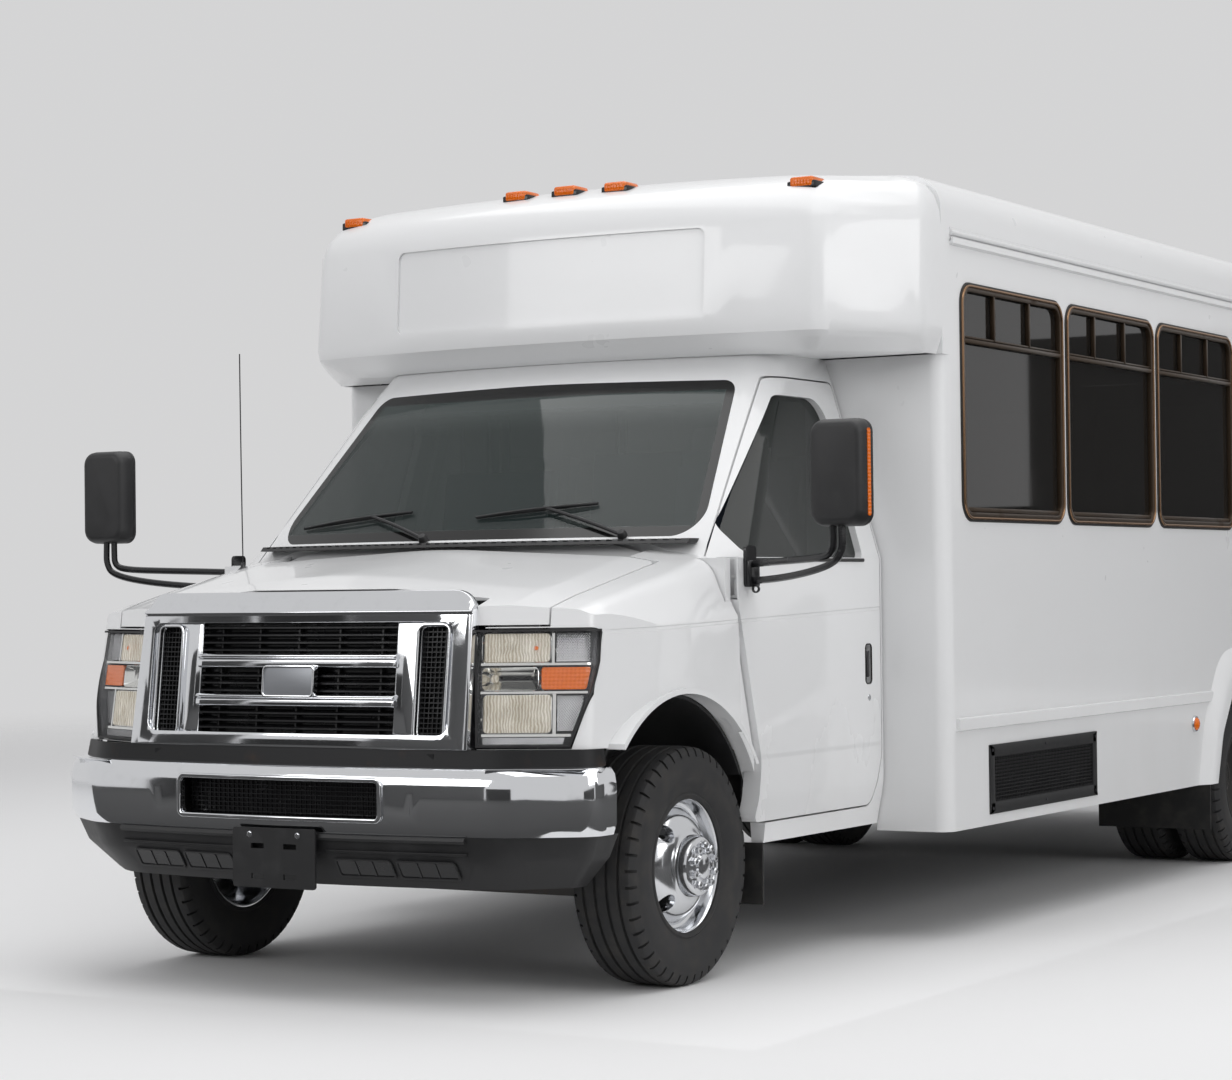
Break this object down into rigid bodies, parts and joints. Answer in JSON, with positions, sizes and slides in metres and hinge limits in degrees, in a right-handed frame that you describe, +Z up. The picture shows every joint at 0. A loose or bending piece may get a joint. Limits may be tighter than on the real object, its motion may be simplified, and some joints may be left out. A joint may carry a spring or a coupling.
{
  "type": "cutaway shuttle minibus",
  "caption": "White cutaway shuttle minibus: van cab with chrome grille, over-cab cap, wide body with framed windows, twin rear wheels, doors, hood and steering that move.",
  "frame": {"origin": "on the ground, in the middle of the overall length and width", "axes": "+Z up, the front faces -Y, +X is the driver's side"},
  "size_m": [3.0374, 7.62, 2.6499],
  "materials": {
    "body_white": "gloss white enamel",
    "frame_black": "black chassis paint",
    "bright_chrome": "polished chrome plate",
    "steel_grey": "bare and galvanised steel",
    "cast_grey": "cast and forged iron",
    "aluminium_trim": "mill finish aluminium",
    "black_plastic": "grained black plastic",
    "grey_plastic": "grained grey plastic",
    "amber_lens": "moulded amber lens",
    "red_lens": "moulded red lens",
    "clear_lamp": "clear lamp lens over bright reflectors",
    "tinted_glass": "dark tinted safety glass",
    "clear_glass": "faintly green safety glass",
    "bronze_frame": "dark bronze anodised frame",
    "seat_cloth": "woven grey blue cloth",
    "floor_rubber": "ribbed rubber floor covering",
    "flap_rubber": "black rubber",
    "tyre_rubber": "black tyre rubber"
  },
  "bodies": {
    "body": {"chassis_frame": "frame_black", "body_floor": "floor_rubber", "side_wall_left": "body_white", "side_wall_right": "body_white", "rear_wall": "body_white", "roof": "body_white", "front_cap": "body_white", "corner_pillars": "body_white", "cab_shell": "body_white", "front_fenders": "body_white", "wheel_liners": "black_plastic", "radiator_support": "frame_black", "windscreen": "clear_glass", "grille_surround": "bright_chrome", "grille_insert": "black_plastic", "headlamps": "clear_lamp", "front_bumper": "bright_chrome", "lower_valance": "black_plastic", "rear_bumper": "frame_black", "window_frames": "bronze_frame", "window_glass": "tinted_glass", "rear_glass": "tinted_glass", "wheel_flares": "body_white", "marker_lamps": "amber_lens", "tail_lamps": "red_lens", "side_vent": "black_plastic", "cowl_grille": "black_plastic", "front_axle": "cast_grey", "rear_axle": "cast_grey", "powertrain": "cast_grey", "fuel_tank": "frame_black", "exhaust": "steel_grey", "mud_flaps": "flap_rubber", "dashboard": "grey_plastic", "cab_seats": "seat_cloth", "seats": "seat_cloth"},
    "hood": {"hood": "body_white"},
    "driver_door": {"driver_door": "body_white", "driver_door_glass": "clear_glass", "mirror_left": "black_plastic"},
    "passenger_door": {"passenger_door": "body_white", "passenger_door_glass": "clear_glass", "mirror_right": "black_plastic"},
    "entry_front": {"entry_leaf_front": "body_white", "entry_glass_front": "tinted_glass"},
    "entry_rear": {"entry_leaf_rear": "body_white", "entry_glass_rear": "tinted_glass"},
    "back_door": {"back_door": "body_white", "back_door_glass": "tinted_glass"},
    "knuckle_left": {"knuckle_left": "cast_grey"},
    "knuckle_right": {"knuckle_right": "cast_grey"},
    "wheel_front_left": {"tyre_front_left": "tyre_rubber", "wheel_front_left": "bright_chrome"},
    "wheel_front_right": {"tyre_front_right": "tyre_rubber", "wheel_front_right": "bright_chrome"},
    "wheels_rear_left": {"tyres_rear_left": "tyre_rubber", "wheels_rear_left": "bright_chrome"},
    "wheels_rear_right": {"tyres_rear_right": "tyre_rubber", "wheels_rear_right": "bright_chrome"}
  },
  "joints": [
    {"name": "hood_hinge", "type": "hinge", "parent": "body", "child": "hood", "pos_m": [0, -2.936, 1.28], "axis": [-1, 0, 0], "range_deg": [0, 50]},
    {"name": "driver_door_hinge", "type": "hinge", "parent": "body", "child": "driver_door", "pos_m": [0.99, -2.732, 1.241], "axis": [0, 0, -1], "range_deg": [0, 60]},
    {"name": "passenger_door_hinge", "type": "hinge", "parent": "body", "child": "passenger_door", "pos_m": [-0.99, -2.732, 1.241], "axis": [0, 0, 1], "range_deg": [0, 60]},
    {"name": "entry_front_hinge", "type": "hinge", "parent": "body", "child": "entry_front", "pos_m": [-1.255, -1.601, 1.27], "axis": [0, 0, 1], "range_deg": [0, 85]},
    {"name": "entry_rear_hinge", "type": "hinge", "parent": "body", "child": "entry_rear", "pos_m": [-1.255, -0.707, 1.27], "axis": [0, 0, -1], "range_deg": [0, 85]},
    {"name": "back_door_hinge", "type": "hinge", "parent": "body", "child": "back_door", "pos_m": [0.452, 3.732, 1.535], "axis": [0, 0, -1], "range_deg": [0, 100]},
    {"name": "steering_left", "type": "hinge", "parent": "body", "child": "knuckle_left", "pos_m": [0.742, -2.98, 0.364], "axis": [0, 0, 1], "range_deg": [-28, 28]},
    {"name": "steering_right", "type": "hinge", "parent": "body", "child": "knuckle_right", "pos_m": [-0.742, -2.98, 0.364], "axis": [0, 0, 1], "range_deg": [-28, 28]},
    {"name": "front_left_spin", "type": "hinge", "parent": "knuckle_left", "child": "wheel_front_left", "pos_m": [0.848, -2.98, 0.364], "axis": [1, 0, 0], "continuous": true},
    {"name": "front_right_spin", "type": "hinge", "parent": "knuckle_right", "child": "wheel_front_right", "pos_m": [-0.848, -2.98, 0.364], "axis": [1, 0, 0], "continuous": true},
    {"name": "rear_left_spin", "type": "hinge", "parent": "body", "child": "wheels_rear_left", "pos_m": [0.94, 1.49, 0.364], "axis": [1, 0, 0], "continuous": true},
    {"name": "rear_right_spin", "type": "hinge", "parent": "body", "child": "wheels_rear_right", "pos_m": [-0.94, 1.49, 0.364], "axis": [1, 0, 0], "continuous": true}
  ],
  "couplings": [
    {"joint": "steering_right", "follows": "steering_left", "ratio": 1},
    {"joint": "entry_rear_hinge", "follows": "entry_front_hinge", "ratio": 1}
  ]
}
